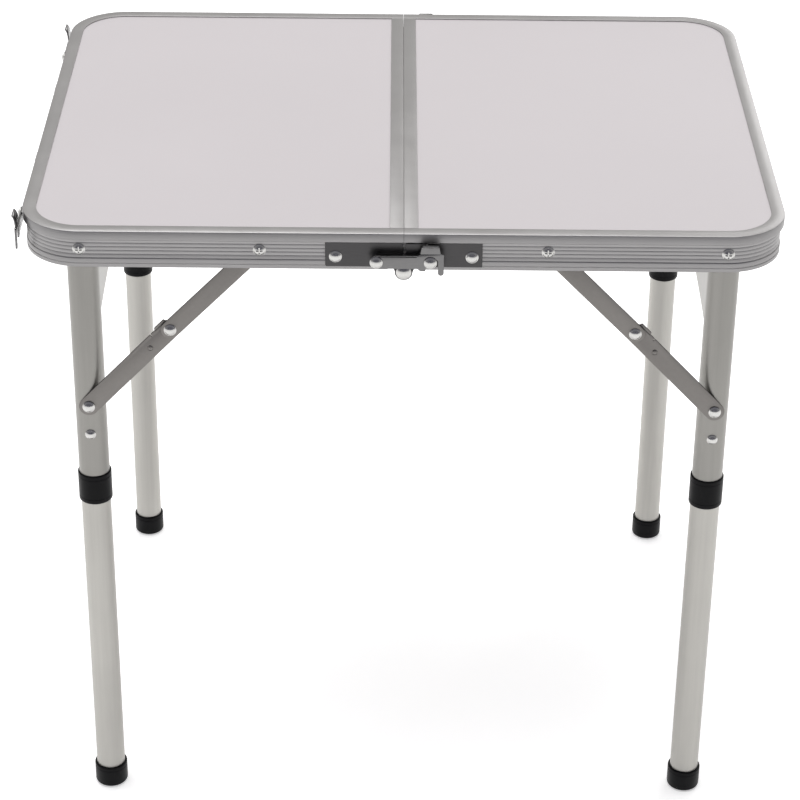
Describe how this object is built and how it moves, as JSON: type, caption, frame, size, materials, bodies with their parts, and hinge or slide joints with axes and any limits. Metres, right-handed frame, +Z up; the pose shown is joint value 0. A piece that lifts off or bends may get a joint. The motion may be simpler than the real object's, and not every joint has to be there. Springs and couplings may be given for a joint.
{
  "type": "folding table",
  "caption": "Rectangular folding camp table: hinged two-leaf top in an aluminium rim, swing legs with folding braces and plug-in leg extensions.",
  "frame": {"origin": "on the floor under the middle of the table top, where the seam crosses the middle line", "axes": "+X along the table's length, towards the leaf with no handle; +Y from the front to the rear along the seam; +Z up"},
  "size_m": [0.608, 0.48, 0.55],
  "materials": {
    "rim_aluminium": "satin anodised, fine drawn lines",
    "leg_aluminium": "satin tube",
    "sheet_aluminium": "satin sheet",
    "white_laminate": "matt white laminate",
    "black_plastic": "matt moulded",
    "bright_steel": "bright plated",
    "steel_plate": "dark brushed plate"
  },
  "bodies": {
    "left_leaf": {"left_frame": "rim_aluminium", "left_panel": "white_laminate", "left_leg_pivot_screws": "bright_steel", "left_leg_spacers": "black_plastic", "left_brace_pivot_screws": "bright_steel", "left_hinge_plates": "steel_plate", "left_hinge_plate_rivets": "bright_steel", "left_latch_posts": "bright_steel", "hinge_rivets": "bright_steel", "end_latch_posts": "bright_steel", "handle_brackets": "bright_steel"},
    "right_leaf": {"right_frame": "rim_aluminium", "right_panel": "white_laminate", "right_leg_pivot_screws": "bright_steel", "right_leg_spacers": "black_plastic", "right_brace_pivot_screws": "bright_steel", "right_hinge_plates": "steel_plate", "right_hinge_plate_rivets": "bright_steel", "right_latch_posts": "bright_steel", "end_latch_keepers": "bright_steel"},
    "left_legs": {"left_stretcher_plate": "sheet_aluminium", "left_leg_rivets": "bright_steel", "left_front_leg": "leg_aluminium", "left_front_leg_collar": "black_plastic", "left_rear_leg": "leg_aluminium", "left_rear_leg_collar": "black_plastic"},
    "right_legs": {"right_stretcher_plate": "sheet_aluminium", "right_leg_rivets": "bright_steel", "right_front_leg": "leg_aluminium", "right_front_leg_collar": "black_plastic", "right_rear_leg": "leg_aluminium", "right_rear_leg_collar": "black_plastic"},
    "left_front_extension": {"left_front_leg_extension": "leg_aluminium", "left_front_foot": "black_plastic"},
    "left_front_lower_link": {"left_front_lower_brace": "sheet_aluminium"},
    "left_front_upper_link": {"left_front_upper_brace": "sheet_aluminium", "left_front_knee_rivet": "bright_steel"},
    "left_rear_extension": {"left_rear_leg_extension": "leg_aluminium", "left_rear_foot": "black_plastic"},
    "left_rear_lower_link": {"left_rear_lower_brace": "sheet_aluminium"},
    "left_rear_upper_link": {"left_rear_upper_brace": "sheet_aluminium", "left_rear_knee_rivet": "bright_steel"},
    "right_front_extension": {"right_front_leg_extension": "leg_aluminium", "right_front_foot": "black_plastic"},
    "right_front_lower_link": {"right_front_lower_brace": "sheet_aluminium"},
    "right_front_upper_link": {"right_front_upper_brace": "sheet_aluminium", "right_front_knee_rivet": "bright_steel"},
    "right_rear_extension": {"right_rear_leg_extension": "leg_aluminium", "right_rear_foot": "black_plastic"},
    "right_rear_lower_link": {"right_rear_lower_brace": "sheet_aluminium"},
    "right_rear_upper_link": {"right_rear_upper_brace": "sheet_aluminium", "right_rear_knee_rivet": "bright_steel"},
    "front_seam_latch": {"front_latch": "bright_steel"},
    "front_end_swing_latch": {"front_end_latch": "bright_steel"},
    "rear_seam_latch": {"rear_latch": "bright_steel"},
    "rear_end_swing_latch": {"rear_end_latch": "bright_steel"},
    "handle": {"carry_handle": "black_plastic"}
  },
  "joints": [
    {"name": "leaf_hinge", "type": "hinge", "parent": "left_leaf", "child": "right_leaf", "pos_m": [0, 0, 0.5175], "axis": [0, -1, 0], "range_deg": [-15, 0]},
    {"name": "left_leg_fold", "type": "hinge", "parent": "left_leaf", "child": "left_legs", "pos_m": [-0.252, 0, 0.5335], "axis": [0, 1, 0], "range_deg": [-45, 0]},
    {"name": "left_front_upper_link_turn", "type": "hinge", "parent": "left_leaf", "child": "left_front_upper_link", "pos_m": [-0.112, -0.217, 0.534], "axis": [0, 1, 0], "range_deg": [-79.76, 0.01]},
    {"name": "left_front_lower_link_turn", "type": "hinge", "parent": "left_legs", "child": "left_front_lower_link", "pos_m": [-0.252, -0.2155, 0.388], "axis": [0, 1, 0], "range_deg": [-0.01, 80.37]},
    {"name": "left_front_extension_pull", "type": "slide", "parent": "left_legs", "child": "left_front_extension", "axis": [0, 0, -1], "range_m": [0, 0.06]},
    {"name": "left_rear_upper_link_turn", "type": "hinge", "parent": "left_leaf", "child": "left_rear_upper_link", "pos_m": [-0.112, 0.217, 0.534], "axis": [0, 1, 0], "range_deg": [-79.76, 0.01]},
    {"name": "left_rear_lower_link_turn", "type": "hinge", "parent": "left_legs", "child": "left_rear_lower_link", "pos_m": [-0.252, 0.2155, 0.388], "axis": [0, 1, 0], "range_deg": [-0.01, 80.37]},
    {"name": "left_rear_extension_pull", "type": "slide", "parent": "left_legs", "child": "left_rear_extension", "axis": [0, 0, -1], "range_m": [0, 0.06]},
    {"name": "right_leg_fold", "type": "hinge", "parent": "right_leaf", "child": "right_legs", "pos_m": [0.252, 0, 0.5335], "axis": [0, 1, 0], "range_deg": [0, 45]},
    {"name": "right_front_upper_link_turn", "type": "hinge", "parent": "right_leaf", "child": "right_front_upper_link", "pos_m": [0.112, -0.217, 0.534], "axis": [0, 1, 0], "range_deg": [-0.01, 79.76]},
    {"name": "right_front_lower_link_turn", "type": "hinge", "parent": "right_legs", "child": "right_front_lower_link", "pos_m": [0.252, -0.2155, 0.388], "axis": [0, 1, 0], "range_deg": [-80.37, 0.01]},
    {"name": "right_front_extension_pull", "type": "slide", "parent": "right_legs", "child": "right_front_extension", "axis": [0, 0, -1], "range_m": [0, 0.06]},
    {"name": "right_rear_upper_link_turn", "type": "hinge", "parent": "right_leaf", "child": "right_rear_upper_link", "pos_m": [0.112, 0.217, 0.534], "axis": [0, 1, 0], "range_deg": [-0.01, 79.76]},
    {"name": "right_rear_lower_link_turn", "type": "hinge", "parent": "right_legs", "child": "right_rear_lower_link", "pos_m": [0.252, 0.2155, 0.388], "axis": [0, 1, 0], "range_deg": [-80.37, 0.01]},
    {"name": "right_rear_extension_pull", "type": "slide", "parent": "right_legs", "child": "right_rear_extension", "axis": [0, 0, -1], "range_m": [0, 0.06]},
    {"name": "front_seam_latch_swing", "type": "hinge", "parent": "left_leaf", "child": "front_seam_latch", "pos_m": [-0.0213, -0.2317, 0.529], "axis": [0, -1, 0], "range_deg": [0, 90]},
    {"name": "front_end_latch_swing", "type": "hinge", "parent": "left_leaf", "child": "front_end_swing_latch", "pos_m": [-0.3037, -0.158, 0.532], "axis": [1, 0, 0], "range_deg": [0, 90]},
    {"name": "rear_seam_latch_swing", "type": "hinge", "parent": "left_leaf", "child": "rear_seam_latch", "pos_m": [-0.0213, 0.2317, 0.529], "axis": [0, -1, 0], "range_deg": [0, 90]},
    {"name": "rear_end_latch_swing", "type": "hinge", "parent": "left_leaf", "child": "rear_end_swing_latch", "pos_m": [-0.3037, 0.158, 0.532], "axis": [-1, 0, 0], "range_deg": [0, 90]},
    {"name": "handle_swing", "type": "hinge", "parent": "left_leaf", "child": "handle", "pos_m": [-0.2998, 0, 0.537], "axis": [0, 1, 0], "range_deg": [0, 95]}
  ],
  "couplings": [
    {"joint": "left_front_upper_link_turn", "follows": "left_leg_fold", "ratio": 1.7722},
    {"joint": "left_front_lower_link_turn", "follows": "left_leg_fold", "ratio": -1.7858},
    {"joint": "left_rear_upper_link_turn", "follows": "left_leg_fold", "ratio": 1.7722},
    {"joint": "left_rear_lower_link_turn", "follows": "left_leg_fold", "ratio": -1.7858},
    {"joint": "right_front_upper_link_turn", "follows": "right_leg_fold", "ratio": 1.7722},
    {"joint": "right_front_lower_link_turn", "follows": "right_leg_fold", "ratio": -1.7858},
    {"joint": "right_rear_upper_link_turn", "follows": "right_leg_fold", "ratio": 1.7722},
    {"joint": "right_rear_lower_link_turn", "follows": "right_leg_fold", "ratio": -1.7858}
  ]
}
